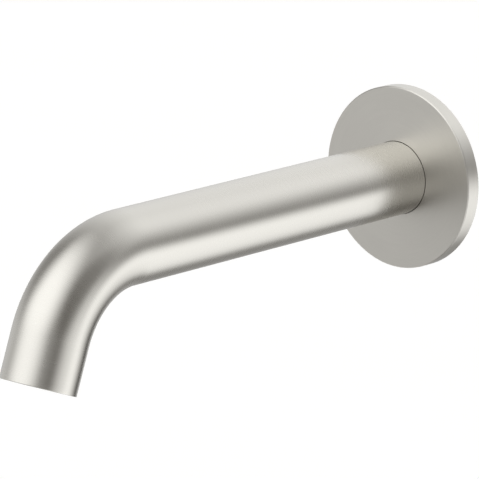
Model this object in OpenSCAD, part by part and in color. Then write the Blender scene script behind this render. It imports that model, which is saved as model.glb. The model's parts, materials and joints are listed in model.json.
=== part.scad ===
// Wall mounted bath spout: a bent round tube that slips over a wall nipple, with a round wall flange,
// a grub screw that locks it and a screw-in aerator recessed in its mouth.
// Millimetres. Origin on the inlet axis in the wall's face, +Y into the wall, +Z up.
// The spout reaches out of the wall towards -Y and bends down.

/* [Spout tube] */
// Outside diameter of the tube
tube_od = 28; // [27.5:0.5:29]
// Wall thickness of the tube
tube_wall = 1.5; // [1:0.1:1.8]
// Wall face to the start of the bend, along the straight run
straight_len = 156; // [60:1:250]
// Radius of the bend, at the middle of the tube
bend_r = 40; // [25:1:80]
// Angle of the bend, where 90 would point straight down
bend_angle = 69; // [45:1:90]
// Straight tail from the end of the bend to the mouth
tail_len = 18; // [14:1:60]
// Gap that the rear end of the tube leaves to the wall face
rear_gap = 1; // [1:0.1:2]

/* [Wall flange] */
// Diameter of the flange
flange_d = 70; // [62:1:90]
// Thickness of the flange, which rests on the wall
flange_t = 6; // [6:0.5:9]
// Thickness of its front plate, in front of the hollow back
flange_plate = 3; // [2:0.5:4]
// Width of its rim
flange_rim = 3; // [2:0.5:5]
// Bevel of its front edge
flange_bevel = 0.4; // [0.2:0.1:1]
// Radial gap between its bore and the tube
flange_gap = 0.15; // [0.1:0.05:0.4]
// Width of the foam gasket in its back
gasket_w = 6; // [4:0.5:8]

/* [Inlet] */
// Outside diameter of the inlet thread
thread_d = 20.955; // [20.955:G 1/2]
// Wall face to the far end of the inlet thread
thread_end = 20; // [15:0.5:30]
// Diameter of the smooth spigot that the spout slips over
spigot_d = 18; // [17.6:0.1:18.2]
// Wall face to the near end of the spigot
spigot_reach = 26; // [26:0.5:32]
// Bore of the spigot
spigot_bore = 12; // [11.6:0.1:12.4]
// Key size of the hexagon socket in the nipple, across flats
key_af = 10; // [8:0.5:10]
// Size of the hexagon collar, across flats
collar_af = 24; // [22:0.5:24]

/* [Grub screw] */
// Thread diameter of the grub screw
grub_d = 6; // [5:0.5:6]
// Wall face to the middle of the grub screw
grub_y = 11; // [10.5:0.1:11.5]
// Key size of its hexagon socket, across flats
grub_key_af = 3; // [2:0.5:3]

/* [Aerator] */
// Outside diameter of the aerator thread
aerator_d = 21.5; // [21:0.1:21.5]
// Depth from the mouth to the aerator's outer face
aerator_recess = 1.5; // [0.5:0.1:2]
// Distance between the cells of the outlet honeycomb
cell_pitch = 2; // [1.8:0.1:2.6]
// Number of holes in the jet plate
jet_holes = 24; // [12:1:28]

/* [Hidden] */
$fn = 96;

// A cut runs this far past the faces it goes through.
over = 1;
// Two cuts that meet run this far into each other.
lap = 0.01;
// Radial gap of a running fit, and of a braze joint.
running = 0.05;

tube_r = tube_od / 2;
tube_ir = tube_r - tube_wall;

// The tail is drawn this much larger in radius than the bend, and takes in this much of the bend's end.
calibrated = 0.01;
bend_end = 0.2;

// Nipple: heights along +Y from the wall face.
spigot_r = spigot_d / 2;
collar_front = 0.2 - rear_gap;
collar_back = 4;
washer_t = 2;
relief_end = collar_back + washer_t + 0.2;
relief_r = thread_d / 2 - 1.2;
thread_chamfer = 1;
end_chamfer = 0.8;
// The collar's corners are turned down to the washer's radius.
collar_r = collar_af / 2 + 1;

// Nipple O-rings: section, groove and places.
seal_r = 0.95;
seal_mid_r = spigot_r - 0.02 - seal_r + running;
seal_groove_r = spigot_r - 1.9;
seal_groove_w = 2.4;
seal_front_y = -22.5;
seal_rear_y = -18.2;

// The grub screw's point sits in a ring groove of the spigot, with sides at 45 degrees.
grub_groove_deep = 1.1;
grub_groove_r = spigot_r - grub_groove_deep;
grub_groove_w = grub_d + 0.6;
grub_tip_r = grub_groove_r + 0.1;
grub_head_r = tube_r - 0.5;

// Socket in the rear end of the tube.
socket_len = spigot_reach + 1.5 - rear_gap;
socket_lead = 1;

// Flange: bore, hub and O-ring.
flange_bore_r = tube_r + flange_gap;
flange_seal_r = 1;
flange_groove_r = tube_r + 2 * flange_seal_r + 0.1;
flange_groove_w = 2.6;
hub_r = flange_groove_r + 2.4;

// Aerator: heights upwards from the mouth, along the tail.
aerator_r = aerator_d / 2;
insert_low = 0.8;
insert_high = 13;
housing_high = aerator_recess + 7.3;
housing_wall = 1.15;
// Height of the inward lip at the foot of the housing, which holds the stack.
lip_h = 1.1;
lip_r = aerator_r - 1.85;
// Axial gap between one piece of the aerator and the next.
stack_gap = 0.1;
washer_low = housing_high + stack_gap;
washer_high = washer_low + 1.2;
washer_w = 2;
seat_z = washer_high + stack_gap;
seat_r = aerator_r - 1.95;
stack_r = aerator_r - 2.35;
honeycomb_low = aerator_recess + 1.3;
honeycomb_t = 2.6;
mesh_t = 0.35;
mesh_low = honeycomb_low + honeycomb_t + 0.2;
mesh_step = 0.5;
jet_low = mesh_low + 2 * mesh_step;
jet_t = 0.8;
filter_low = jet_low + jet_t + stack_gap;

// Turns a shape built along +Z onto the inlet axis, so that its heights run into the wall.
module on_inlet_axis() {
    rotate([-90, 0, 0]) children();
}

// Turns a shape built along +Z onto the tail, so that its heights run up from the mouth.
module on_mouth() {
    translate([0, -straight_len, -bend_r]) rotate([bend_angle, 0, 0])
        translate([0, -tail_len, bend_r]) rotate([-90, 0, 0]) children();
}

// Round bar between two heights.
module bar(r, low, high) {
    translate([0, 0, low]) cylinder(r = r, h = high - low);
}

// Round ring between two heights.
module ring(inner, outer, low, high) {
    difference() {
        bar(outer, low, high);
        bar(inner, low - over, high + over);
    }
}

// O-ring at one height.
module o_ring(mid_r, section_r, height) {
    translate([0, 0, height]) rotate_extrude() translate([mid_r, 0]) circle(r = section_r, $fn = 48);
}

// Hexagonal bar between two heights, by its size across flats.
module hex_bar(across_flats, low, high) {
    translate([0, 0, low]) cylinder(d = across_flats / cos(30), h = high - low, $fn = 6);
}

// Bar of radius r that follows the spout from the wall to the mouth, longer at both ends by extra.
// Its tail is calibrated a hair larger than the bend, so it takes the bend's end inside it.
module spout_bar(r, extra) {
    on_inlet_axis() bar(r, -straight_len, extra - rear_gap);
    translate([0, -straight_len, -bend_r]) rotate([180, -90, 0])
        rotate_extrude(angle = bend_angle) translate([bend_r, 0]) circle(r = r);
    on_mouth() bar(r + calibrated, -extra, tail_len + bend_end);
}

// Tapped hole for the grub screw, through the underside of the tube and the socket.
module grub_hole() {
    translate([0, -grub_y, -tube_r - over]) cylinder(d = grub_d + 2 * running, h = tube_r);
}

module spout_tube() {
    color([0.72, 0.71, 0.68]) difference() {
        spout_bar(tube_r, 0);
        spout_bar(tube_ir, over);
        grub_hole();
    }
}

module inlet_socket() {
    bore_r = spigot_r + running;
    color([0.78, 0.66, 0.38]) difference() {
        on_inlet_axis() ring(bore_r, tube_ir - running, -rear_gap - socket_len, -rear_gap);
        on_inlet_axis() translate([0, 0, -rear_gap - socket_lead])
            cylinder(r1 = bore_r, r2 = bore_r + socket_lead, h = socket_lead + lap);
        grub_hole();
    }
}

module outlet_insert() {
    color([0.70, 0.69, 0.66]) on_mouth() difference() {
        ring(seat_r, tube_ir - running, insert_low, insert_high);
        bar(aerator_r + running, insert_low - over, seat_z);
    }
}

module grub_screw() {
    socket_deep = 2.5;
    cone = 1.2;
    color([0.55, 0.55, 0.56]) translate([0, -grub_y, 0]) rotate([180, 0, 0]) difference() {
        union() {
            translate([0, 0, grub_tip_r]) cylinder(r1 = grub_d / 2 - 1, r2 = grub_d / 2, h = cone);
            bar(grub_d / 2, grub_tip_r + cone, grub_head_r);
        }
        hex_bar(grub_key_af, grub_head_r - socket_deep, grub_head_r + over);
    }
}

module connection_nipple() {
    color([0.78, 0.66, 0.38]) on_inlet_axis() difference() {
        union() {
            translate([0, 0, -spigot_reach])
                cylinder(r1 = spigot_r - end_chamfer, r2 = spigot_r, h = end_chamfer);
            bar(spigot_r, end_chamfer - spigot_reach, collar_front);
            intersection() {
                hex_bar(collar_af, collar_front, collar_back);
                bar(collar_r, collar_front, collar_back);
            }
            bar(relief_r, collar_back, relief_end);
            bar(thread_d / 2, relief_end, thread_end - thread_chamfer);
            translate([0, 0, thread_end - thread_chamfer])
                cylinder(r1 = thread_d / 2, r2 = thread_d / 2 - thread_chamfer, h = thread_chamfer);
        }
        bar(spigot_bore / 2, -spigot_reach - over, collar_front);
        hex_bar(key_af, collar_front - over, thread_end + over);
        for (y = [seal_front_y, seal_rear_y])
            ring(seal_groove_r, spigot_r + over, y - seal_groove_w / 2, y + seal_groove_w / 2);
        translate([0, 0, -grub_y]) rotate_extrude() polygon([
            [grub_groove_r, grub_groove_deep - grub_groove_w / 2],
            [grub_groove_r, grub_groove_w / 2 - grub_groove_deep],
            [spigot_r, grub_groove_w / 2],
            [spigot_r + over, grub_groove_w / 2],
            [spigot_r + over, -grub_groove_w / 2],
            [spigot_r, -grub_groove_w / 2]
        ]);
    }
}

module inlet_washer() {
    color([0.55, 0.20, 0.14]) on_inlet_axis()
        ring(relief_r + 0.2, collar_r, collar_back, collar_back + washer_t);
}

module nipple_o_ring_rear() {
    color([0.08, 0.08, 0.08]) on_inlet_axis() o_ring(seal_mid_r, seal_r, seal_rear_y);
}

module nipple_o_ring_front() {
    color([0.08, 0.08, 0.08]) on_inlet_axis() o_ring(seal_mid_r, seal_r, seal_front_y);
}

module wall_flange() {
    outer_r = flange_d / 2;
    color([0.70, 0.69, 0.66]) on_inlet_axis() difference() {
        union() {
            bar(outer_r, flange_bevel - flange_t, 0);
            translate([0, 0, -flange_t])
                cylinder(r1 = outer_r - flange_bevel, r2 = outer_r, h = flange_bevel);
        }
        bar(flange_bore_r, -flange_t - over, over);
        ring(hub_r, outer_r - flange_rim, flange_plate - flange_t, over);
        ring(flange_bore_r - over, flange_groove_r,
            -flange_t / 2 - flange_groove_w / 2, -flange_t / 2 + flange_groove_w / 2);
    }
}

module flange_o_ring() {
    color([0.08, 0.08, 0.08]) on_inlet_axis()
        o_ring(tube_r + running + flange_seal_r, flange_seal_r, -flange_t / 2);
}

module wall_gasket() {
    outer_r = flange_d / 2 - flange_rim;
    color([0.16, 0.16, 0.17]) on_inlet_axis()
        ring(outer_r - gasket_w, outer_r, flange_plate - flange_t, 0);
}

module aerator_washer() {
    outer_r = aerator_r - 0.15;
    color([0.08, 0.08, 0.08]) on_mouth() ring(outer_r - washer_w, outer_r, washer_low, washer_high);
}

module aerator_housing() {
    notches = 12;
    notch_w = 1;
    notch_deep = 0.9;
    color([0.20, 0.20, 0.21]) on_mouth() difference() {
        ring(lip_r, aerator_r, aerator_recess, housing_high);
        bar(aerator_r - housing_wall, aerator_recess + lip_h, housing_high + over);
        for (i = [0 : notches - 1]) rotate([0, 0, i * 360 / notches])
            translate([lip_r - over, -notch_w / 2, aerator_recess - over])
                cube([notch_deep + over, notch_w, notch_deep + over]);
    }
}

module aerator_cartridge() {
    color([0.86, 0.86, 0.84]) on_mouth()
        ring(stack_r + stack_gap, aerator_r - housing_wall - stack_gap,
            aerator_recess + lip_h + stack_gap, housing_high - stack_gap);
}

module aerator_honeycomb() {
    cell_wall = 0.3;
    cell_af = cell_pitch - cell_wall;
    rings = ceil(stack_r / cell_pitch);
    color([0.90, 0.90, 0.88]) on_mouth() difference() {
        bar(stack_r, honeycomb_low, honeycomb_low + honeycomb_t);
        for (row = [-rings : rings]) for (step = [-rings : rings])
            let (x = cell_pitch * (step + row / 2), y = cell_pitch * row * sin(60))
                if (norm([x, y]) < stack_r - cell_pitch / 2 - cell_wall)
                    translate([x, y, 0]) rotate([0, 0, 30])
                        hex_bar(cell_af, honeycomb_low - over, honeycomb_low + honeycomb_t + over);
    }
}

module aerator_mesh(low) {
    color([0.62, 0.63, 0.64]) on_mouth() bar(stack_r, low, low + mesh_t);
}

module aerator_mesh_lower() {
    aerator_mesh(mesh_low);
}

module aerator_mesh_upper() {
    aerator_mesh(mesh_low + mesh_step);
}

module aerator_jet_plate() {
    hole_d = 1;
    holes_r = stack_r * 0.7;
    color([0.86, 0.86, 0.84]) on_mouth() difference() {
        bar(stack_r, jet_low, jet_low + jet_t);
        for (i = [0 : jet_holes - 1]) rotate([0, 0, i * 360 / jet_holes])
            translate([holes_r, 0, jet_low - over]) cylinder(d = hole_d, h = jet_t + 2 * over, $fn = 24);
    }
}

module aerator_filter() {
    wall = 0.5;
    rim_t = 0.7;
    rim_w = 0.6;
    rise = 2.2;
    top_r = 3.6;
    hole_d = 0.9;
    // Radius of each ring of holes, and the number of holes in it
    hole_rings = [[1.5, 6], [3.0, 12], [4.8, 18], [6.4, 24]];
    color([0.86, 0.86, 0.84]) on_mouth() difference() {
        rotate_extrude() polygon([
            [0, filter_low + rise],
            [top_r, filter_low + rise],
            [stack_r - rim_w, filter_low + rim_t],
            [stack_r - rim_w, filter_low],
            [stack_r, filter_low],
            [stack_r, filter_low + rim_t],
            [top_r + 0.3, filter_low + rise + wall],
            [0, filter_low + rise + wall]
        ]);
        for (holes = hole_rings) for (i = [0 : holes[1] - 1]) rotate([0, 0, i * 360 / holes[1]])
            translate([holes[0], 0, filter_low]) cylinder(d = hole_d, h = rise + 2 * over, $fn = 24);
    }
}

spout_tube();
inlet_socket();
outlet_insert();
grub_screw();
connection_nipple();
inlet_washer();
nipple_o_ring_rear();
nipple_o_ring_front();
wall_flange();
flange_o_ring();
wall_gasket();
aerator_washer();
aerator_housing();
aerator_cartridge();
aerator_honeycomb();
aerator_mesh_lower();
aerator_mesh_upper();
aerator_jet_plate();
aerator_filter();
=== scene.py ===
"""Looks of a wall mounted bath spout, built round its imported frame.

Metres. The origin is on the inlet axis in the wall's face, +Y runs into the wall and +Z is up.
A turned piece is drawn with its axis on local +Z, and then placed on the inlet axis, on the mouth
or on the grub screw's axis.
"""

import json
import logging
import math
from dataclasses import dataclass
from enum import Enum
from typing import Any, Callable

import bpy
import numpy as np
from mathutils import Matrix, Vector

import sys


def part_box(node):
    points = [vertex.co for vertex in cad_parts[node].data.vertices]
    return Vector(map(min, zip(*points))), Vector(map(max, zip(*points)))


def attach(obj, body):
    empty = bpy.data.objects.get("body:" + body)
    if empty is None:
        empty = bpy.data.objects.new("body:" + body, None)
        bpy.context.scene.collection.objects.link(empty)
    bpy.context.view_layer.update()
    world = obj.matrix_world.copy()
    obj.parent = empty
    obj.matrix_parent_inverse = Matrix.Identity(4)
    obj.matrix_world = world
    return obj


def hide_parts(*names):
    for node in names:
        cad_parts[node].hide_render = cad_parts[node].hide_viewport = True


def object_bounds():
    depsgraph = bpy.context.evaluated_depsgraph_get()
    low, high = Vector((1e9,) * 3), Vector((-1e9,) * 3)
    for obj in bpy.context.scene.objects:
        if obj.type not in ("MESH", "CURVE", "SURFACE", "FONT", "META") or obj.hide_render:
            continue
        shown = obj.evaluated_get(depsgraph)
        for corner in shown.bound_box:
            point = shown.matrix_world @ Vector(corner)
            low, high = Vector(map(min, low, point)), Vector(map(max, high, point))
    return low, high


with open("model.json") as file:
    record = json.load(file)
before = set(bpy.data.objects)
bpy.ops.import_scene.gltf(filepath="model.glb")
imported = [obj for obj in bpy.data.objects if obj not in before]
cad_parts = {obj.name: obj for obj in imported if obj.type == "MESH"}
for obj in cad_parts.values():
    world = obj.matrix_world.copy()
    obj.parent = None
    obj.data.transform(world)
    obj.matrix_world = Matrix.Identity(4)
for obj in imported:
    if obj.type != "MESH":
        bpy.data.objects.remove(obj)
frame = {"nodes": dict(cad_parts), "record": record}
cad_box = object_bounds()

log = logging.getLogger("bath_spout")

MM = 0.001
DEG = math.pi / 180
# Name of the vector attribute that holds each point's place along and round its piece.
GRAIN = "grain"
# Ranges of cloudy noise: nearly all of it, and the middle only, which gives firmer edges.
CLOUDY = (0.3, 0.7)
FIRMER = (0.35, 0.65)
# Vertices nearer to each other than this are one.
SAME_POINT = 1e-6
# Angles in degrees up to which faces shade as one, on keen edged pieces and on thin wire.
SHARP = 30.0
ROUND_WIRE = 60.0

Piece = bpy.types.Object
Colour = tuple[float, float, float]
# The (radius, height) points of an outline, and its corners with the rounding of each.
Outline = list[tuple[float, float]]
Corners = list[tuple[float, float, float]]


# Shader graphs


class Signal:
    """A shader socket that adds its Math nodes when it is used in an expression."""

    def __init__(self, graph: "Graph", socket: bpy.types.NodeSocket) -> None:
        """Wraps one output socket.

        Args:
            graph: The graph that the socket belongs to.
            socket: The output socket.
        """
        self.graph = graph
        self.socket = socket

    def _math(self, operation: str, first: Any, second: Any) -> "Signal":
        """Returns the result of one Math node on two operands."""
        node = self.graph.add("ShaderNodeMath", {"operation": operation}, {0: first, 1: second})
        return Signal(self.graph, node.outputs[0])

    def __add__(self, other: Any) -> "Signal":
        """Adds a number or a signal."""
        return self._math("ADD", self, other)

    def __sub__(self, other: Any) -> "Signal":
        """Takes away a number or a signal."""
        return self._math("SUBTRACT", self, other)

    def __rsub__(self, other: Any) -> "Signal":
        """Takes this signal away from a number."""
        return self._math("SUBTRACT", other, self)

    def __mul__(self, other: Any) -> "Signal":
        """Multiplies by a number or a signal."""
        return self._math("MULTIPLY", self, other)


class Graph:
    """The node tree of a material or of the world."""

    def __init__(self, tree: bpy.types.NodeTree) -> None:
        """Empties the tree, so that every node in it is one that the finish asks for.

        Args:
            tree: The node tree to fill.
        """
        self.tree = tree
        tree.nodes.clear()

    def add(self, kind: str, settings: dict[str, Any], inputs: dict[Any, Any]) -> bpy.types.Node:
        """Adds a node, sets it up and feeds it.

        Args:
            kind: The node's type.
            settings: Its own properties, which are set first.
            inputs: A value or a Signal for each socket, by name or by number.

        Returns:
            The new node.
        """
        node = self.tree.nodes.new(kind)
        for key, value in settings.items():
            setattr(node, key, value)
        for key, value in inputs.items():
            if isinstance(value, Signal):
                self.tree.links.new(value.socket, node.inputs[key])
            else:
                node.inputs[key].default_value = value
        return node

    def out(self, node: bpy.types.Node, socket: Any = 0) -> Signal:
        """Returns one output of a node as a Signal."""
        return Signal(self, node.outputs[socket])

    def coordinates(self, kind: str) -> Signal:
        """Returns the texture coordinates of one kind."""
        return self.out(self.add("ShaderNodeTexCoord", {}, {}), kind)

    def grain(self) -> Signal:
        """Returns each point's place along and round its piece."""
        return self.out(self.add("ShaderNodeAttribute", {"attribute_name": GRAIN}, {}), "Vector")

    def vector(self, x: Any, y: Any, z: Any) -> Signal:
        """Returns three numbers or signals joined as a vector."""
        return self.out(self.add("ShaderNodeCombineXYZ", {}, {0: x, 1: y, 2: z}))

    def parts(self, vector: Signal) -> tuple[Signal, Signal, Signal]:
        """Returns the three parts of a vector."""
        node = self.add("ShaderNodeSeparateXYZ", {}, {0: vector})
        return self.out(node, 0), self.out(node, 1), self.out(node, 2)

    def length(self, vector: Signal) -> Signal:
        """Returns the length of a vector."""
        node = self.add("ShaderNodeVectorMath", {"operation": "LENGTH"}, {0: vector})
        return self.out(node, "Value")

    def noise(self, vector: Signal, scale: float, detail: float = 2.0) -> Signal:
        """Returns cloudy noise about 0.5."""
        node = self.add("ShaderNodeTexNoise", {}, {"Vector": vector, "Scale": scale, "Detail": detail})
        return self.out(node, "Fac")

    def ramp(self, value: Signal, low: float, high: float, to_low: float, to_high: float) -> Signal:
        """Maps a range of a signal smoothly to another range, and holds it there.

        Args:
            value: The signal.
            low: The signal's value that becomes to_low.
            high: The signal's value that becomes to_high.
            to_low: The result at and below low.
            to_high: The result at and above high.

        Returns:
            The mapped signal.
        """
        settings = {"interpolation_type": "SMOOTHSTEP"}
        inputs = {0: value, 1: low, 2: high, 3: to_low, 4: to_high}
        return self.out(self.add("ShaderNodeMapRange", settings, inputs))

    def larger(self, first: Any, second: Any) -> Signal:
        """Returns the larger of two numbers or signals."""
        return self.out(self.add("ShaderNodeMath", {"operation": "MAXIMUM"}, {0: first, 1: second}))

    def blend(self, share: Any, first: Any, second: Any) -> Signal:
        """Returns a colour between two colours.

        Args:
            share: How much of the second colour there is, from 0 to 1.
            first: The colour where share is 0.
            second: The colour where share is 1.

        Returns:
            The blended colour.
        """
        settings = {"data_type": "RGBA"}
        inputs = {0: share, 6: opaque(first), 7: opaque(second)}
        return self.out(self.add("ShaderNodeMix", settings, inputs), 2)

    def bump(self, height: Signal, strength: float, distance: float) -> Signal:
        """Returns a normal that leans with a height pattern of the given depth in metres."""
        inputs = {"Height": height, "Strength": strength, "Distance": distance}
        return self.out(self.add("ShaderNodeBump", {}, inputs))


def opaque(colour: Any) -> Any:
    """Returns a colour with the fourth number that its socket takes, and a Signal as it is."""
    return colour if isinstance(colour, Signal) else (*colour, 1.0)


@dataclass(frozen=True)
class Finish:
    """What every finish has: a name, a colour, a roughness and how metallic it is."""

    name: str
    colour: Colour
    roughness: float
    metallic: float = 0.0

    def material(self) -> bpy.types.Material:
        """Makes the material, which each finish then works into by its pattern method.

        Returns:
            The finished material.
        """
        material = bpy.data.materials.new(self.name)
        material.use_nodes = True
        graph = Graph(material.node_tree)
        shader = graph.add("ShaderNodeBsdfPrincipled", {}, {
            "Base Color": opaque(self.colour),
            "Roughness": self.roughness,
            "Metallic": self.metallic,
        })
        graph.add("ShaderNodeOutputMaterial", {}, {0: graph.out(shader)})
        for socket, signal in self.pattern(graph).items():
            graph.tree.links.new(signal.socket, shader.inputs[socket])
        return material

    def pattern(self, graph: Graph) -> dict[str, Signal]:
        """Returns what varies over the surface, by the shader's socket names."""
        raise NotImplementedError

    def shades(self, dark: float, light: float) -> tuple[Colour, Colour]:
        """Returns the finish's colour made darker and lighter by two factors."""
        red, green, blue = self.colour
        return (red * dark, green * dark, blue * dark), (red * light, green * light, blue * light)


@dataclass(frozen=True)
class BrushedMetal(Finish):
    """Metal brushed round the piece, so that its fine lines run across the grain attribute.

    The lines keep to a pitch and a depth, and change a number of times a metre along themselves.
    Wider streaks and clouds vary the colour by tone and the roughness by gloss.
    """

    metallic: float = 1.0
    line_pitch: float = 0.14 * MM
    line_depth: float = 0.00025 * MM
    changes: float = 60.0
    streak_share: float = 0.18
    cloud_scale: float = 45.0
    tone: float = 0.015
    gloss: float = 0.012

    def pattern(self, graph: Graph) -> dict[str, Signal]:
        """Draws fine lines in bump, and slower streaks and clouds in tone and gloss.

        Args:
            graph: The material's graph.

        Returns:
            The signals for the base colour, the roughness and the normal.
        """
        along, across, up = graph.parts(graph.grain())
        lines, streaks = (
            graph.noise(
                graph.vector(along * scale, across * self.changes, up * self.changes), 1.0, detail)
            for scale, detail in (
                (1 / self.line_pitch, 3.0), (self.streak_share / self.line_pitch, 2.0)))
        clouds = graph.noise(graph.vector(along, across, up), self.cloud_scale, 2.0)
        worn = streaks * 0.5 + clouds * 0.5
        dark, light = self.shades(1 - self.tone, 1 + self.tone)
        return {
            "Base Color": graph.blend(graph.ramp(worn, *CLOUDY, 0.0, 1.0), dark, light),
            "Roughness": graph.ramp(
                worn, *CLOUDY, self.roughness - self.gloss, self.roughness + self.gloss),
            "Normal": graph.bump(lines, 1.0, self.line_depth),
        }


@dataclass(frozen=True)
class TurnedPlate(BrushedMetal):
    """Brushed metal on a turned plate, whose rim is finished finer than its face."""

    rim_from: float = 34.4 * MM
    rim_to: float = 34.9 * MM
    rim_gloss: float = 0.045

    def pattern(self, graph: Graph) -> dict[str, Signal]:
        """Draws the brushed pattern, with a smoother rim.

        Args:
            graph: The material's graph.

        Returns:
            The signals for the base colour, the roughness and the normal.
        """
        worked = super().pattern(graph)
        _, across, up = graph.parts(graph.grain())
        out = graph.length(graph.vector(across, up, 0.0))
        rim = graph.ramp(out, self.rim_from, self.rim_to, 0.0, self.rim_gloss)
        worked["Roughness"] = worked["Roughness"] - rim
        return worked


@dataclass(frozen=True)
class MouldedMatt(Finish):
    """Moulded plastic or rubber with a fine matt skin."""

    cell: float = 0.25 * MM
    depth: float = 0.01 * MM
    cloud_scale: float = 120.0
    gloss: float = 0.06
    dark: float = 0.88
    light: float = 1.10

    def pattern(self, graph: Graph) -> dict[str, Signal]:
        """Draws fine pitting in bump, with slight clouds in tone and gloss.

        Args:
            graph: The material's graph.

        Returns:
            The signals for the base colour, the roughness and the normal.
        """
        place = graph.coordinates("Object")
        skin = graph.noise(place, 1 / self.cell, 3.0)
        clouds = graph.noise(place, self.cloud_scale, 2.0)
        dark, light = self.shades(self.dark, self.light)
        return {
            "Base Color": graph.blend(graph.ramp(clouds, *FIRMER, 0.0, 1.0), dark, light),
            "Roughness": graph.ramp(
                clouds, *CLOUDY, self.roughness - self.gloss, self.roughness + self.gloss),
            "Normal": graph.bump(skin, 0.6, self.depth),
        }


@dataclass(frozen=True)
class Foam(Finish):
    """Closed cell foam, with open cells where it was cut, and painted shade in their hollows."""

    cell: float = 0.55 * MM
    depth: float = 0.12 * MM
    gloss: float = 0.1
    # How dark the painted shade in the open cells' hollows is.
    dark: float = 0.55

    def pattern(self, graph: Graph) -> dict[str, Signal]:
        """Draws round cells in bump and gloss, and paints shade into the tone of their hollows.

        Args:
            graph: The material's graph.

        Returns:
            The signals for the base colour, the roughness and the normal.
        """
        cells = graph.out(graph.add("ShaderNodeTexVoronoi", {"feature": "SMOOTH_F1"}, {
            "Vector": graph.coordinates("Object"),
            "Scale": 1 / self.cell,
        }), "Distance")
        # Painted shade: the middles of the cells, which the bump sinks into hollows, are darker in colour.
        unshaded_share = graph.ramp(cells, 0.15, 0.75, 0.0, 1.0)
        dark, plain = self.shades(self.dark, 1.0)
        return {
            "Base Color": graph.blend(unshaded_share, dark, plain),
            "Roughness": graph.ramp(cells, 0.2, 0.7, self.roughness - self.gloss, self.roughness),
            "Normal": graph.bump(cells, 0.9, self.depth),
        }


@dataclass(frozen=True)
class PressedFibre(Finish):
    """Vulcanised fibre: fine crossed fibres in a hard red sheet."""

    fibre: float = 0.3 * MM
    fibre_share: float = 0.12
    depth: float = 0.03 * MM
    gloss: float = 0.12
    dark: float = 0.6
    light: float = 1.35

    def pattern(self, graph: Graph) -> dict[str, Signal]:
        """Draws two crossed sets of fibres in tone, gloss and bump.

        Args:
            graph: The material's graph.

        Returns:
            The signals for the base colour, the roughness and the normal.
        """
        x, y, z = graph.parts(graph.coordinates("Object"))
        fine, long = 1 / self.fibre, self.fibre_share / self.fibre
        one_way = graph.noise(graph.vector(x * fine, y * fine, z * long), 1.0, 2.0)
        other_way = graph.noise(graph.vector(x * long, y * fine, z * fine), 1.0, 2.0)
        fibres = one_way * 0.5 + other_way * 0.5
        dark, light = self.shades(self.dark, self.light)
        return {
            "Base Color": graph.blend(graph.ramp(fibres, 0.38, 0.62, 0.0, 1.0), dark, light),
            "Roughness": graph.ramp(fibres, *FIRMER, self.roughness - self.gloss, self.roughness),
            "Normal": graph.bump(fibres, 0.7, self.depth),
        }


BRUSHED_NICKEL = BrushedMetal("satin_nickel", (0.625, 0.607, 0.565), 0.27)
TURNED_NICKEL = TurnedPlate("satin_nickel_turned", (0.625, 0.607, 0.565), 0.35)
PLATED_RING = BrushedMetal("nickel_plate_unbrushed", (0.55, 0.53, 0.49), 0.36)
TURNED_BRASS = BrushedMetal(
    "machined_brass", (0.72, 0.52, 0.24), 0.24, line_pitch=0.22 * MM, line_depth=0.003 * MM)
STAINLESS = BrushedMetal("drawn_stainless", (0.53, 0.52, 0.50), 0.30)
RED_FIBRE = PressedFibre("vulcanised_fibre", (0.34, 0.045, 0.028), 0.62)
SEAL_RUBBER = MouldedMatt("nitrile_rubber", (0.016, 0.016, 0.017), 0.55)
GASKET_FOAM = Foam("closed_cell_foam", (0.055, 0.056, 0.060), 0.9)
BLACK_PLASTIC = MouldedMatt("black_acetal", (0.022, 0.022, 0.024), 0.38)
WHITE_PLASTIC = MouldedMatt("white_acetal", (0.74, 0.74, 0.72), 0.36)


# The bench: how pieces are drawn, turned and joined


def only(*pieces: Piece) -> None:
    """Selects the given pieces and nothing else, and makes the first of them active.

    Args:
        pieces: The pieces to select.
    """
    bpy.ops.object.select_all(action="DESELECT")
    for piece in pieces:
        piece.select_set(True)
    bpy.context.view_layer.objects.active = pieces[0]


def settle(piece: Piece) -> None:
    """Puts a piece's placement into its vertices, so that its own coordinates are the frame's."""
    only(piece)
    bpy.ops.object.transform_apply(location=True, rotation=True, scale=True)


def modify(piece: Piece, kind: str, **settings: Any) -> None:
    """Applies one modifier to a piece.

    Args:
        piece: The piece.
        kind: The modifier's type.
        settings: The modifier's properties.
    """
    only(piece)
    modifier = piece.modifiers.new(kind, kind)
    for key, value in settings.items():
        setattr(modifier, key, value)
    bpy.ops.object.modifier_apply(modifier=modifier.name)


class Editing:
    """Edit mode on one piece, for the length of a with block, with everything selected."""

    def __init__(self, piece: Piece) -> None:
        """Notes the piece."""
        self.piece = piece

    def __enter__(self) -> None:
        """Goes into edit mode with all of the piece's vertices selected."""
        only(self.piece)
        bpy.ops.object.mode_set(mode="EDIT")
        bpy.ops.mesh.select_mode(type="VERT")
        bpy.ops.mesh.select_all(action="SELECT")

    def __exit__(self, *_: Any) -> None:
        """Goes back to object mode."""
        bpy.ops.object.mode_set(mode="OBJECT")


def weld(reach: float = SAME_POINT) -> None:
    """Joins the vertices that meet in the piece that is being edited, and turns its faces out.

    Args:
        reach: How near to each other they are.
    """
    bpy.ops.mesh.select_all(action="SELECT")
    bpy.ops.mesh.remove_doubles(threshold=reach)
    bpy.ops.mesh.normals_make_consistent(inside=False)


def named_active(name: str) -> Piece:
    """Names the primitive that was just added.

    Args:
        name: The name for the object and its mesh.

    Returns:
        The primitive.
    """
    piece = bpy.context.active_object
    piece.name = name
    piece.data.name = name
    return piece


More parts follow.
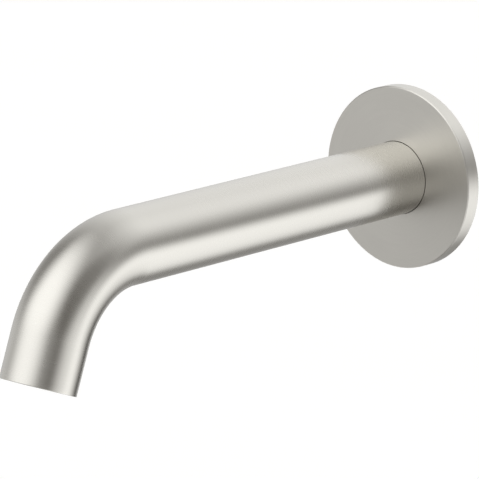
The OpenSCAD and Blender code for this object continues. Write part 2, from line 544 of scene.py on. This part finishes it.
def draw(name: str, outline: Outline, closed: bool = True) -> Piece:
    """Draws an outline point by point in the XZ plane, from a single vertex.

    Args:
        name: The piece's name.
        outline: The (radius, height) points in order.
        closed: Whether the last point joins the first.

    Returns:
        The wire that was drawn.
    """
    radius, height = outline[0]
    bpy.ops.mesh.primitive_plane_add(size=1.0, location=(radius, 0, height))
    piece = named_active(name)
    with Editing(piece):
        bpy.ops.mesh.merge(type="CENTER")
        points = outline[1:] + outline[:1] if closed else outline[1:]
        for following in points:
            step = (following[0] - radius, 0, following[1] - height)
            bpy.ops.mesh.extrude_region_move(TRANSFORM_OT_translate={"value": step})
            radius, height = following
        bpy.ops.mesh.select_all(action="SELECT")
        bpy.ops.mesh.remove_doubles(threshold=SAME_POINT)
    settle(piece)
    return piece


def turn(name: str, outline: Outline, steps: int = 128) -> Piece:
    """Turns a closed outline about local Z.

    Args:
        name: The piece's name.
        outline: The (radius, height) points of one side of the section, in order.
        steps: How many steps the turn takes.

    Returns:
        The closed solid.
    """
    piece = draw(name, outline)
    with Editing(piece):
        bpy.ops.mesh.spin(steps=steps, angle=2 * math.pi, center=(0, 0, 0), axis=(0, 0, 1))
        weld(2 * SAME_POINT)
    return piece


def rounded(corners: Corners, steps: int = 3) -> Outline:
    """Returns a closed outline whose corners are rounded.

    Args:
        corners: Each corner's radius from the axis, height, and rounding.
        steps: Steps of each rounding.

    Returns:
        The outline's points.
    """
    outline: Outline = []
    for i, (x, z, size) in enumerate(corners):
        here = Vector((x, z))
        before = Vector(corners[i - 1][:2])
        after = Vector(corners[(i + 1) % len(corners)][:2])
        if size <= 0:
            outline.append((x, z))
            continue
        back, on = (before - here).normalized(), (after - here).normalized()
        half = back.angle(on) / 2
        reach = size / math.tan(half)
        centre = here + (back + on).normalized() * (size / math.sin(half))
        first, last = here + back * reach - centre, here + on * reach - centre
        sweep = first.angle_signed(last)
        for step in range(steps + 1):
            turned = first.copy()
            turned.rotate(Matrix.Rotation(-sweep * step / steps, 2))
            outline.append(tuple(centre + turned))
    return outline


class Keep(Enum):
    """What a cut leaves of a piece: what is outside its tool, or what is inside."""

    OUTSIDE = "DIFFERENCE"
    INSIDE = "INTERSECT"


def cut(piece: Piece, tool: Piece, keep: Keep = Keep.OUTSIDE) -> None:
    """Cuts a piece with a tool, and clears the tool away.

    Args:
        piece: The piece that is changed.
        tool: The closed solid that it is changed with.
        keep: What the cut leaves of the piece.
    """
    modify(piece, "BOOLEAN", operation=keep.value, solver="EXACT", object=tool)
    bpy.data.objects.remove(tool)


def hexagon(name: str, across_flats: float, low: float, high: float) -> Piece:
    """Draws a hexagonal prism on local Z, with a corner on +X.

    Args:
        name: The prism's name.
        across_flats: Its size across flats.
        low: The height of its lower end.
        high: The height of its upper end.

    Returns:
        The prism.
    """
    sides = 6
    radius = across_flats / 2 / math.cos(math.pi / sides)
    bpy.ops.mesh.primitive_cylinder_add(
        vertices=sides, radius=radius, depth=high - low, location=(0, 0, (low + high) / 2),
        rotation=(0, 0, 90 * DEG))
    tool = named_active(name)
    settle(tool)
    return tool


def places(piece: Piece) -> np.ndarray:
    """Reads where a piece's vertices are.

    Args:
        piece: The piece.

    Returns:
        Their places, one row each.
    """
    points = np.empty(len(piece.data.vertices) * 3, np.float32)
    piece.data.vertices.foreach_get("co", points)
    return points.reshape(-1, 3).astype(float)


def reshape(piece: Piece, move: Callable[[np.ndarray], np.ndarray]) -> None:
    """Moves a piece's vertices by a rule.

    Args:
        piece: The piece.
        move: Takes the vertices' places and returns the new ones.
    """
    moved = move(places(piece)).astype(np.float32)
    piece.data.vertices.foreach_set("co", moved.ravel())
    piece.data.update()


@dataclass(frozen=True)
class Thread:
    """A single start right-hand thread on the outside of a turned piece."""

    radius: float
    pitch: float
    depth: float
    low: float
    high: float
    rows_to_a_pitch: int = 8
    flank_slope: float = 2.6
    crest: float = 0.25

    def rows(self) -> Corners:
        """Returns the rows of points up the threaded stretch, as unrounded corners."""
        steps = round((self.high - self.low) / self.pitch * self.rows_to_a_pitch)
        return [(self.radius, self.low + (self.high - self.low) * i / steps, 0.0) for i in range(steps + 1)]

    def cut_into(self, piece: Piece, chamfer: float = 0.0) -> None:
        """Sinks the groove into the piece's rows of points, and lets it run out at its low end.

        Args:
            piece: The turned piece, with the thread's rows of points in its outline.
            chamfer: The size of the bevel that the free end starts with.
        """
        near = 0.02 * MM

        def sink(points: np.ndarray) -> np.ndarray:
            """Pulls each point of the stretch in by the groove's depth at its place.

            Args:
                points: The vertices' places.

            Returns:
                The new places.
            """
            out = np.hypot(points[:, 0], points[:, 1])
            height = points[:, 2]
            inside = (out > self.radius - near) & (height > self.low - near) & (height < self.high + near)
            angle = np.arctan2(points[:, 1], points[:, 0])
            phase = np.mod(height / self.pitch - angle / (2 * math.pi), 1.0)
            flank = np.clip(self.flank_slope * (0.5 - np.abs(phase - 0.5)) - self.crest, 0, 1)
            fade = np.clip((height - self.low) / self.pitch, 0, 1)
            if not chamfer:
                fade = fade * np.clip((self.high - height) / self.pitch, 0, 1)
            sunk = np.maximum(self.depth * flank * fade, height - (self.high - chamfer))
            share = 1 - np.where(inside, sunk, 0) / np.maximum(out, near)
            return points * np.stack([share, share, np.ones_like(share)], 1)

        reshape(piece, sink)


def mark_grain(piece: Piece, place: Callable[[np.ndarray], np.ndarray]) -> None:
    """Stores each point's place along and round its piece, which the brushed finishes read.

    Args:
        piece: The piece.
        place: Takes the vertices' places and returns (along, across, up) for each.
    """
    rows = place(places(piece)).astype(np.float32)
    grain = piece.data.attributes.new(GRAIN, "FLOAT_VECTOR", "POINT")
    grain.data.foreach_set("vector", rows.ravel())


def turned_grain(points: np.ndarray) -> np.ndarray:
    """Works out the grain of a turned piece, whose tool marks lie round local Z.

    Args:
        points: The vertices' places.

    Returns:
        The grain at each. Faces are weighted apart from sides, so that a bevel shows no marks twice.
    """
    face_weight = 1.13
    out = np.hypot(points[:, 0], points[:, 1])
    along = out * face_weight + points[:, 2]
    return np.stack([along, points[:, 0], points[:, 1]], 1)


class Axis(Enum):
    """The lines that pieces are placed on, by what is there."""

    INLET = "inlet_thread"
    MOUTH = "water_outlet"
    GRUB = "grub_screw_travel"


def mouth() -> tuple[Vector, Vector]:
    """Returns the middle of the spout's mouth and the direction in which the water leaves it."""
    mount = next(m for m in frame["record"]["mounts"] if m["name"] == Axis.MOUTH.value)
    return Vector(mount["pos_m"]), Vector(mount["axis"])


def on_axis(axis: Axis) -> Matrix:
    """Returns the placement that takes local +Z to an axis of the frame.

    The inlet axis runs into the wall from its face. The mouth's axis runs up the tail from the
    mouth, and the grub screw's runs from the tube's middle to the screw's head.

    Args:
        axis: The axis to place on.

    Returns:
        The placement.
    """
    if axis is Axis.INLET:
        return Matrix.Rotation(-90 * DEG, 4, "X")
    if axis is Axis.MOUTH:
        middle, flow = mouth()
        lean = math.atan2(-flow.y, -flow.z)
        return Matrix.Translation(middle) @ Matrix.Rotation(-lean, 4, "X")
    low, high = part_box("grub_screw")
    middle = (low + high) / 2
    return Matrix.Translation((0, middle.y, 0)) @ Matrix.Rotation(math.pi, 4, "X")


def put_on(piece: Piece, axis: Axis) -> None:
    """Takes a piece that was drawn on local Z to an axis of the frame."""
    piece.matrix_world = on_axis(axis)
    settle(piece)


@dataclass
class Handed:
    """How a finished piece is handed to the frame."""

    body: str
    slot: str
    stands_for: str
    finish: Finish
    smooth_up_to: float = 35.0
    face_weight: int = 100

    def over(self, piece: Piece, axis: Axis | None) -> None:
        """Places, shades and dresses a piece, and ties it to its body.

        Args:
            piece: The piece, drawn on local Z if it has an axis.
            axis: The axis to place it on, or None if it is already in place.
        """
        if axis is not None:
            put_on(piece, axis)
        only(piece)
        bpy.ops.object.shade_smooth_by_angle(angle=self.smooth_up_to * DEG)
        modify(piece, "WEIGHTED_NORMAL", keep_sharp=True, weight=self.face_weight)
        piece.data.materials.clear()
        piece.data.materials.append(self.finish.material())
        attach(piece, self.body)
        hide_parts(self.stands_for)
        log.info("%s: %d vertices", piece.name, len(piece.data.vertices))


def dress(node: str, material: bpy.types.Material) -> None:
    """Gives a node that the frame has right a better material in each of its slots.

    Args:
        node: The node's name.
        material: The material.
    """
    for slot in frame["nodes"][node].material_slots:
        slot.material = material
    log.info("%s: dressed in %s", node, material.name)


# Sub-assemblies


@dataclass
class Spout:
    """The bent tube with its brazed ends."""

    wall: float = 1.5 * MM
    bend_radius: float = 40 * MM
    sides: int = 160
    bend_steps: int = 60
    drilled_end: float = 20 * MM
    drilled_steps: int = 20
    straight_steps: int = 34
    tail_steps: int = 8
    edge_break: float = 0.22 * MM
    edge_angle: float = 50.0
    hole_radius: float = 3.05 * MM
    hole_flare: float = 0.5 * MM
    flare_depth: float = 0.15 * MM

    def __post_init__(self) -> None:
        """Works out the tube's run from the frame: straight, bend and tail."""
        low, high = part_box("spout_tube")
        self.radius = high.z
        self.rear = high.y
        middle, self.flow = mouth()
        self.angle = math.atan2(-self.flow.z, -self.flow.y)
        drop = -middle.z - self.bend_radius * (1 - math.cos(self.angle))
        self.tail = drop / math.sin(self.angle)
        reach = -middle.y - self.bend_radius * math.sin(self.angle)
        self.straight = reach - self.tail * math.cos(self.angle)

    def build(self) -> None:
        """Builds the tube and hands it over."""
        piece = self.tube()
        Handed("spout", "brushed_nickel", "spout_tube", BRUSHED_NICKEL).over(piece, None)

    def tube(self) -> Piece:
        """Draws the tube: a ring extruded along the run, given its wall, and drilled for the screw.

        Returns:
            The tube.
        """
        bpy.ops.mesh.primitive_circle_add(
            vertices=self.sides, radius=self.radius, fill_type="NOTHING",
            location=(0, self.rear, 0), rotation=(90 * DEG, 0, 0))
        piece = named_active("drawn_tube")
        settle(piece)
        plain = self.straight + self.rear - self.drilled_end
        stretches = [(self.drilled_end, self.drilled_steps), (plain, self.straight_steps)]
        with Editing(piece):
            for length, steps in stretches:
                for _ in range(steps):
                    bpy.ops.mesh.extrude_region_move(
                        TRANSFORM_OT_translate={"value": (0, -length / steps, 0)})
            centre = (0, -self.straight, -self.bend_radius)
            bpy.ops.mesh.spin(steps=self.bend_steps, angle=self.angle, center=centre, axis=(-1, 0, 0))
            for _ in range(self.tail_steps):
                bpy.ops.mesh.extrude_region_move(
                    TRANSFORM_OT_translate={"value": self.flow * (self.tail / self.tail_steps)})
            weld()
        self.thicken(piece)
        cut(piece, self.drill())
        mark_grain(piece, self.straightened)
        return piece

    def thicken(self, piece: Piece) -> None:
        """Gives the tube its wall, and breaks its edges.

        Args:
            piece: The tube's outer skin.
        """
        modify(piece, "SOLIDIFY", thickness=self.wall, offset=-1, use_even_offset=True)
        modify(
            piece, "BEVEL", width=self.edge_break, segments=3, limit_method="ANGLE",
            angle_limit=self.edge_angle * DEG)

    def drill(self) -> Piece:
        """Turns the drill for the grub screw's hole, with the flare that breaks its edge.

        Returns:
            The drill, in place.
        """
        tip, face = self.radius - 3 * self.wall, self.radius - self.flare_depth
        wide = self.hole_radius + self.hole_flare
        over = 2 * MM
        outline = [
            (0, tip), (self.hole_radius, tip), (self.hole_radius, face - self.hole_flare),
            (wide, face), (wide, face + over), (0, face + over)]
        tool = turn("drill", outline, 64)
        put_on(tool, Axis.GRUB)
        return tool

    def straightened(self, points: np.ndarray) -> np.ndarray:
        """Works out each point's place in the tube as it was before it was bent.

        Args:
            points: The vertices' places.

        Returns:
            The places along and across the straight tube.
        """
        x, y, z = points.T
        turned = np.arctan2(-(y + self.straight), z + self.bend_radius)
        out = np.hypot(y + self.straight, z + self.bend_radius) - self.bend_radius
        bent = self.straight + turned * self.bend_radius
        past = (y + self.straight) * self.flow.y + (z + self.bend_radius) * self.flow.z
        side = np.array([-self.flow.z, self.flow.y])
        height = (y + self.straight) * side[0] + (z + self.bend_radius) * side[1]
        end = self.straight + self.angle * self.bend_radius
        in_bend = (y < -self.straight) & (turned < self.angle)
        in_tail = (y < -self.straight) & ~in_bend
        along = np.where(in_tail, end + past, np.where(in_bend, bent, -y))
        up = np.where(in_tail, np.abs(height) - self.bend_radius, np.where(in_bend, out, z))
        return np.stack([along, x, up], 1)


@dataclass
class WallFlange:
    """The round cover plate, turned from solid with a hollow back and a hub round the tube."""

    thickness: float = 6 * MM
    plate: float = 3 * MM
    rim: float = 3 * MM
    bevel: float = 0.4 * MM
    bore: float = 14.15 * MM
    hub: float = 18.5 * MM
    groove: float = 16.1 * MM
    groove_width: float = 2.6 * MM
    steps: int = 192

    def build(self) -> None:
        """Turns the plate and hands it over."""
        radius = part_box("wall_flange")[1].x
        keen, fine, soft = 0.06 * MM, 0.12 * MM, 0.45 * MM
        front, back = -self.thickness, 0.0
        middle = -self.thickness / 2
        half = self.groove_width / 2
        floor = self.plate - self.thickness
        corners = [
            (self.bore, front, keen), (radius - self.bevel, front, fine),
            (radius, front + self.bevel, fine), (radius, back, fine),
            (radius - self.rim, back, fine), (radius - self.rim, floor, soft),
            (self.hub, floor, soft), (self.hub, back, fine), (self.bore, back, fine),
            (self.bore, middle + half, fine), (self.groove, middle + half, fine),
            (self.groove, middle - half, fine), (self.bore, middle - half, fine)]
        piece = turn("turned_flange", rounded(corners), self.steps)
        mark_grain(piece, turned_grain)
        Handed("flange", "brushed_nickel_plate", "wall_flange", TURNED_NICKEL).over(piece, Axis.INLET)


@dataclass
class Fixing:
    """The nipple that the spout slips over, its washer, and the brazed socket and screw that hold it."""

    thread_radius: float = 10.4775 * MM
    thread_pitch: float = 1.814 * MM
    thread_depth: float = 1.0 * MM
    thread_start: float = 6.4 * MM
    spigot: float = 9 * MM
    bore: float = 6 * MM
    seal_grooves: tuple[float, ...] = (-22.5 * MM, -18.2 * MM)
    groove_half: float = 1.2 * MM
    groove_floor: float = 7.1 * MM
    waist: tuple[float, float] = (-14.3 * MM, -7.7 * MM)
    waist_depth: float = 1.1 * MM
    collar: float = 13 * MM
    collar_flats: float = 24 * MM
    collar_ends: tuple[float, float] = (-0.8 * MM, 4 * MM)
    key_flats: float = 10 * MM
    core: float = 4.8 * MM
    relief: float = 9.28 * MM
    lead: float = 0.8 * MM
    front_bevel: tuple[float, float] = (1.0 * MM, 0.6 * MM)
    back_bevel: tuple[float, float] = (0.6 * MM, 0.35 * MM)
    core_bevel: float = 1.2 * MM
    fine: float = 0.1 * MM
    soft: float = 0.2 * MM

    def build(self) -> None:
        """Builds each piece in the order in which it is fitted."""
        self.nipple()
        self.washer()
        self.socket()
        self.grub_screw()

    def nipple(self) -> None:
        """Turns the nipple, cuts its thread, mills its collar and broaches its key socket."""
        low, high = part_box("connection_nipple")
        end = high.y
        front, back = self.collar_ends
        fine, bevel = self.fine, self.core_bevel
        thread = Thread(
            self.thread_radius, self.thread_pitch, self.thread_depth, self.thread_start, end)
        corners = self.spigot_corners(low.y)
        corners += [
            (self.collar - self.front_bevel[0], front, fine),
            (self.collar, front + self.front_bevel[1], fine),
            (self.collar, back - self.back_bevel[1], fine),
            (self.collar - self.back_bevel[0], back, fine),
            (self.relief, back, self.soft), (self.relief, thread.low - self.soft, fine)]
        corners += thread.rows()
        corners += [
            (self.core + bevel, end, 0.0), (self.core, end - bevel, fine),
            (self.core, front - bevel, fine), (self.bore, front - 2 * bevel, fine)]
        piece = turn("turned_nipple", rounded(corners, 2), 144)
        thread.cut_into(piece, chamfer=1.3 * MM)
        cut(piece, hexagon("collar_flats", self.collar_flats, low.y - MM, end + MM), Keep.INSIDE)
        cut(piece, hexagon("key_broach", self.key_flats, front - 2 * MM, end + MM))
        mark_grain(piece, turned_grain)
        Handed("wall_fixing", "turned_brass", "connection_nipple", TURNED_BRASS, SHARP).over(
            piece, Axis.INLET)

    def spigot_corners(self, reach: float) -> Corners:
        """Lists the corners of the nipple's spigot, with its seal grooves and waist.

        Args:
            reach: The height of the spigot's free end.

        Returns:
            The corners, up to the collar's front.
        """
        fine, soft, spigot = self.fine, self.soft, self.spigot
        corners = [
            (self.bore, reach, soft), (spigot - self.lead, reach, fine),
            (spigot, reach + self.lead, fine)]
        for middle in self.seal_grooves:
            start, stop = middle - self.groove_half, middle + self.groove_half
            corners += [
                (spigot, start, fine), (self.groove_floor, start, fine),
                (self.groove_floor, stop, fine), (spigot, stop, fine)]
        start, stop = self.waist
        depth = self.waist_depth
        return corners + [
            (spigot, start, fine), (spigot - depth, start + depth, soft),
            (spigot - depth, stop - depth, soft), (spigot, stop, fine),
            (spigot, self.collar_ends[0], soft)]

    def washer(self) -> None:
        """Punches the fibre washer."""
        inner, outer, low, high = 9.48 * MM, 13 * MM, 4 * MM, 6 * MM
        soft, fine = 0.35 * MM, 0.12 * MM
        piece = turn("punched_washer", rounded([
            (inner, low, soft), (outer, low, soft), (outer, high, fine), (inner, high, fine)]))
        Handed("wall_fixing", "red_fibre", "inlet_washer", RED_FIBRE).over(piece, Axis.INLET)

    def socket(self) -> None:
        """Turns the brazed socket and drills it with the tube for the grub screw."""
        inner, outer, lead, fine = 9.05 * MM, 12.45 * MM, 1 * MM, 0.12 * MM
        low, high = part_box("inlet_socket")
        piece = turn("turned_socket", rounded([
            (inner, low.y, fine), (outer - 0.4 * MM, low.y, 0.0), (outer, low.y + 0.4 * MM, 0.0),
            (outer, high.y, fine), (inner + lead, high.y, fine), (inner, high.y - lead, fine)]))
        put_on(piece, Axis.INLET)
        cut(piece, Spout().drill())
        mark_grain(piece, lambda points: turned_grain(points[:, [0, 2, 1]]))
        Handed("spout", "turned_brass", "inlet_socket", TURNED_BRASS, SHARP).over(piece, None)

    def grub_screw(self) -> None:
        """Turns the grub screw, rolls its thread and broaches its hexagon socket."""
        low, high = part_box("grub_screw")
        tip, head = -high.z, -low.z
        radius, cone = 3 * MM, 1.2 * MM
        thread = Thread(radius, 1 * MM, 0.55 * MM, tip + cone, head)
        corners = [(0, tip, 0.0), (radius - 1 * MM, tip, 0.08 * MM)]
        corners += thread.rows()
        corners += [(1.85 * MM, head, 0.0), (1.4 * MM, head - 0.3 * MM, 0.0), (0, head - 0.3 * MM, 0.0)]
        piece = turn("socket_screw", rounded(corners), 72)
        thread.cut_into(piece, chamfer=0.5 * MM)
        cut(piece, hexagon("hexagon_broach", 3 * MM, head - 2.5 * MM, head + MM))
        mark_grain(piece, turned_grain)
        Handed("grub", "stainless_steel", "grub_screw", STAINLESS, SHARP).over(piece, Axis.GRUB)


@dataclass
class Seals:
    """The O-rings, the foam gasket and the aerator's washer."""

    rings: tuple[str, ...] = (
        "nipple_o_ring_rear", "nipple_o_ring_front", "flange_o_ring", "aerator_washer")

    def build(self) -> None:
        """Dresses the rings, whose shape the frame has right, and cuts the gasket."""
        rubber = SEAL_RUBBER.material()
        for name in self.rings:
            dress(name, rubber)
        self.gasket()

    def gasket(self) -> None:
        """Cuts the gasket: a foam ring, proud in the middle of its back where nothing presses it."""
        low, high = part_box("wall_gasket")
        outer = high.x - 0.02 * MM
        inner = outer - 6 * MM
        edge = 0.45 * MM
        piece = turn("cut_gasket", rounded([
            (inner, low.y, 0.1 * MM), (outer, low.y, 0.1 * MM), (outer, high.y, edge),
            (inner, high.y, edge)]), 192)
        Handed("flange", "gasket_foam", "wall_gasket", GASKET_FOAM).over(piece, Axis.INLET)


@dataclass
class Aerator:
    """The screw-in aerator in the mouth, and the brazed ring that it screws into."""

    thread_pitch: float = 1 * MM
    radius: float = 10.75 * MM
    notches: int = 12
    mesh_radius: float = 8.38 * MM
    mesh_pitch: float = 0.7 * MM
    mesh_half: float = 0.175 * MM
    wire_radius: float = 0.085 * MM

    def build(self) -> None:
        """Builds the visible pieces, and dresses the sealed ones that the frame has right."""
        self.insert()
        self.housing()
        plastic = WHITE_PLASTIC.material()
        for name in ("aerator_cartridge", "aerator_honeycomb", "aerator_jet_plate", "aerator_filter"):
            dress(name, plastic)
        self.screen("aerator_mesh_lower", 5.6 * MM)
        self.screen("aerator_mesh_upper", 6.1 * MM)

    def insert(self) -> None:
        """Turns the brazed ring: a threaded bore up to a seat."""
        outer, bore, seat = 12.45 * MM, 10.8 * MM, 8.8 * MM
        low, seat_at, high = 0.8 * MM, 10.2 * MM, 13 * MM
        fine, lead = 0.12 * MM, 0.35 * MM
        piece = turn("threaded_insert", rounded([
            (bore + lead, low, 0.0), (outer - lead, low, fine), (outer, low + lead, fine),
            (outer, high, fine), (seat, high, fine), (seat, seat_at, fine), (bore, seat_at, fine),
            (bore, low + lead, 0.0)]), 144)
        mark_grain(piece, turned_grain)
        Handed("spout", "brushed_nickel_plate", "outlet_insert", PLATED_RING, SHARP).over(
            piece, Axis.MOUTH)

    def housing(self) -> None:
        """Moulds the threaded housing, with key notches round its lip."""
        low, high = 1.5 * MM, 8.8 * MM
        lip, inner, lip_high = 8.9 * MM, 9.6 * MM, 2.6 * MM
        fine, soft = 0.1 * MM, 0.3 * MM
        thread = Thread(self.radius, self.thread_pitch, 0.55 * MM, low + 1.0 * MM, high - 0.4 * MM)
        corners = [(lip, low, fine), (self.radius, low, soft)]
        corners += thread.rows()
        corners += [
            (self.radius, high, soft), (inner, high, fine), (inner, lip_high, fine), (lip, lip_high, fine)]
        piece = turn("moulded_housing", rounded(corners), 168)
        thread.cut_into(piece)
        cut(piece, self.key_teeth(lip, low))
        Handed("aerator", "black_plastic", "aerator_housing", BLACK_PLASTIC, SHARP).over(
            piece, Axis.MOUTH)

    def key_teeth(self, lip: float, low: float) -> Piece:
        """Returns the ring of teeth that cuts the key notches.

        Args:
            lip: The radius inside the housing's lip.
            low: The height of its lower face.

        Returns:
            The teeth as one tool.
        """
        width, depth, over = 1.0 * MM, 0.9 * MM, 1.0 * MM
        teeth = []
        for i in range(self.notches):
            angle = 2 * math.pi * i / self.notches
            middle = lip + (depth - over) / 2
            bpy.ops.mesh.primitive_cube_add(
                size=1, location=(middle * math.cos(angle), middle * math.sin(angle), low),
                rotation=(0, 0, angle), scale=(depth + over, width, 2 * depth))
            teeth.append(named_active("tooth"))
        only(*teeth)
        bpy.ops.object.join()
        bpy.ops.object.transform_apply(location=True, rotation=True, scale=True)
        return bpy.context.active_object

    def screen(self, node: str, height: float) -> None:
        """Weaves a round screen of fine wire.

        Args:
            node: The frame's node that the screen stands for.
            height: The height of its underside above the mouth.
        """
        middle = height + self.mesh_half
        count = int(self.mesh_radius / self.mesh_pitch)
        wires = []
        for turned in (0, 1):
            for i in range(-count, count + 1):
                half = math.sqrt(self.mesh_radius ** 2 - (i * self.mesh_pitch) ** 2)
                if half >= self.mesh_pitch:
                    wires.append(self.wire(half, i, turned, middle))
        only(*wires)
        bpy.ops.object.join()
        piece = named_active(node + "_weave")
        mark_grain(piece, lambda points: points)
        Handed("aerator", "wire_mesh", node, STAINLESS, ROUND_WIRE).over(piece, Axis.MOUTH)

    def wire(self, half: float, row: int, turned: int, middle: float) -> Piece:
        """Rolls one wire of a screen from a strip, wavy so that it passes over and under the others.

        Args:
            half: Half its length.
            row: Its place in its set, counted from the middle.
            turned: 1 for a wire of the crossing set.
            middle: The height of the screen's middle.

        Returns:
            The wire.
        """
        pitch, radius = self.mesh_pitch, self.wire_radius
        steps, sides = max(4, round(4 * half / pitch)), 6
        bpy.ops.mesh.primitive_grid_add(x_subdivisions=steps, y_subdivisions=sides, size=2)
        strip = named_active("wire")
        lift = -radius if (row + turned) % 2 else radius

        def roll(points: np.ndarray) -> np.ndarray:
            """Rolls the strip to a tube, waves it and puts it in its row.

            Args:
                points: The strip's vertices.

            Returns:
                The wire's vertices.
            """
            angle = points[:, 1] * math.pi
            along = points[:, 0] * half
            side = row * pitch + radius * np.cos(angle)
            rise = middle + radius * np.sin(angle) + lift * np.cos(along * math.pi / pitch)
            return np.stack([side, along, rise] if turned else [along, side, rise], 1)

        reshape(strip, roll)
        with Editing(strip):
            bpy.ops.mesh.remove_doubles(threshold=SAME_POINT)
            bpy.ops.mesh.select_all(action="SELECT")
            bpy.ops.mesh.fill_holes(sides=sides + 2)
            bpy.ops.mesh.select_all(action="SELECT")
            bpy.ops.mesh.normals_make_consistent(inside=False)
        return strip


@dataclass(frozen=True)
class Glow:
    """A soft round patch of light or shade in the studio that surrounds the object."""

    name: str
    azimuth: float
    elevation: float
    core: float
    edge: float
    strength: float

    def toward(self) -> Vector:
        """Returns the direction of the patch's middle, with azimuth turned from +X to +Y."""
        a, e = self.azimuth * DEG, self.elevation * DEG
        return Vector((math.cos(a) * math.cos(e), math.sin(a) * math.cos(e), math.sin(e)))

    def add_to(self, graph: Graph, toward: Signal) -> Signal:
        """Returns the patch's light for every direction.

        Args:
            graph: The world's graph.
            toward: The direction that the world is looked at in.

        Returns:
            The light.
        """
        node = graph.add("ShaderNodeVectorMath", {"operation": "DOT_PRODUCT"}, {
            0: toward,
            1: self.toward(),
        })
        near = graph.out(node, "Value")
        return graph.ramp(near, math.cos(self.edge * DEG), math.cos(self.core * DEG), 0.0, self.strength)


# The studio as the object's metal sees it: a large soft box high in front and one behind, the pale
# floor's glow all round, a little light from overhead, and shade between them.
SURROUND = (
    Glow("front soft box", -105, 43, 12, 64, 1.28),
    Glow("back soft box", 97, 21, 8, 66, 0.86),
    Glow("overhead", 29, 28, 7, 63, 0.24),
    Glow("floor at the right", 16, -38, 30, 54, 0.7),
    Glow("floor at the far right", 49, -36, 18, 40, 1.0),
    Glow("floor at the left", 188, -34, 27, 58, 0.5),
    Glow("floor in front", -48, -27, 12, 38, 0.4),
    Glow("shade at the right", 0, 22, 14, 34, -0.28),
    Glow("shade under the front", -90, -34, 2, 22, -0.18),
    Glow("shade under the back", 66, -12, 26, 48, -0.44),
    Glow("shade behind", 80, -6, 12, 33, -0.44),
    Glow("shade at the left", 194, 43, 4, 22, -0.3),
)


@dataclass
class Studio:
    """Pale floor, soft light all round and the camera."""

    camera_azimuth: float = 42.21
    camera_elevation: float = 13.71
    camera_distance: float = 1.6313
    camera_right: float = -63.76 * MM
    camera_up: float = -24.57 * MM
    lens: float = 322.3
    floor_drop: float = 1.5
    floor_radius: float = 40.0
    floor_lift: float = 0.15
    backdrop: float = 0.99
    base_light: float = 0.3
    base_tint: Colour = (1.02, 1.0, 0.975)
    glow_tint: Colour = (0.985, 1.0, 1.015)
    least_light: float = 0.08
    glows: tuple[Glow, ...] = SURROUND

    def build(self) -> None:
        """Builds the floor, the light and the camera."""
        self.lay_floor()
        self.light()
        self.set_camera()

    def lay_floor(self) -> None:
        """Lays a wide round floor below the object, which its metal doesn't mirror."""
        drop = cad_box[0].z - self.floor_drop
        bpy.ops.mesh.primitive_circle_add(
            vertices=96, radius=self.floor_radius, fill_type="NGON", location=(0, 0, drop))
        floor = named_active("studio_floor")
        settle(floor)
        material = bpy.data.materials.new("studio_floor")
        material.use_nodes = True
        graph = Graph(material.node_tree)
        clouds = graph.noise(graph.coordinates("Object"), 1.5, 2.0)
        shader = graph.add("ShaderNodeBsdfPrincipled", {}, {
            "Base Color": graph.blend(clouds, (0.94, 0.93, 0.92), (0.96, 0.95, 0.94)),
            "Roughness": 1.0,
            "Specular IOR Level": 0.0,
            "Emission Color": (1.0, 1.0, 1.0, 1.0),
            "Emission Strength": self.floor_lift,
        })
        graph.add("ShaderNodeOutputMaterial", {}, {0: graph.out(shader)})
        floor.data.materials.append(material)
        floor.visible_glossy = False

    def light(self) -> None:
        """Lights the object from a pale surround with soft patches."""
        world = bpy.data.worlds.new("studio")
        world.use_nodes = True
        bpy.context.scene.world = world
        graph = Graph(world.node_tree)
        toward = graph.coordinates("Generated")
        level: Any = 0.0
        for glow in self.glows:
            level = glow.add_to(graph, toward) + level
        seen = graph.out(graph.add("ShaderNodeLightPath", {}, {}), "Is Camera Ray")
        lit = [
            graph.larger(level * cool + self.base_light * warm, self.least_light) * (1 - seen)
            + seen * self.backdrop
            for cool, warm in zip(self.glow_tint, self.base_tint)]
        shader = graph.add("ShaderNodeBackground", {}, {"Color": graph.vector(*lit)})
        graph.add("ShaderNodeOutputWorld", {}, {0: graph.out(shader)})
        bpy.context.scene.view_settings.view_transform = "Standard"

    def set_camera(self) -> None:
        """Sets a long lens on the object, with no shift and no depth of field."""
        a, e = self.camera_azimuth * DEG, self.camera_elevation * DEG
        ahead = Vector((-math.sin(a) * math.cos(e), math.cos(a) * math.cos(e), -math.sin(e)))
        right = Vector((math.cos(a), math.sin(a), 0))
        up = right.cross(ahead)
        data = bpy.data.cameras.new("camera")
        data.lens = self.lens
        data.sensor_width = 36
        data.clip_start = 0.05
        data.clip_end = 60
        camera = bpy.data.objects.new("camera", data)
        bpy.context.scene.collection.objects.link(camera)
        spot = -ahead * self.camera_distance + right * self.camera_right + up * self.camera_up
        turned = Matrix((right, up, -ahead)).transposed().to_4x4()
        camera.matrix_world = Matrix.Translation(spot) @ turned
        bpy.context.scene.camera = camera


def main() -> None:
    """Builds the sub-assemblies in order, then the studio."""
    logging.basicConfig(level=logging.INFO, format="%(message)s", stream=sys.stdout)
    Fixing().build()
    Seals().build()
    Spout().build()
    WallFlange().build()
    Aerator().build()
    Studio().build()
    bpy.context.view_layer.update()


if __name__ == "__main__":
    main()
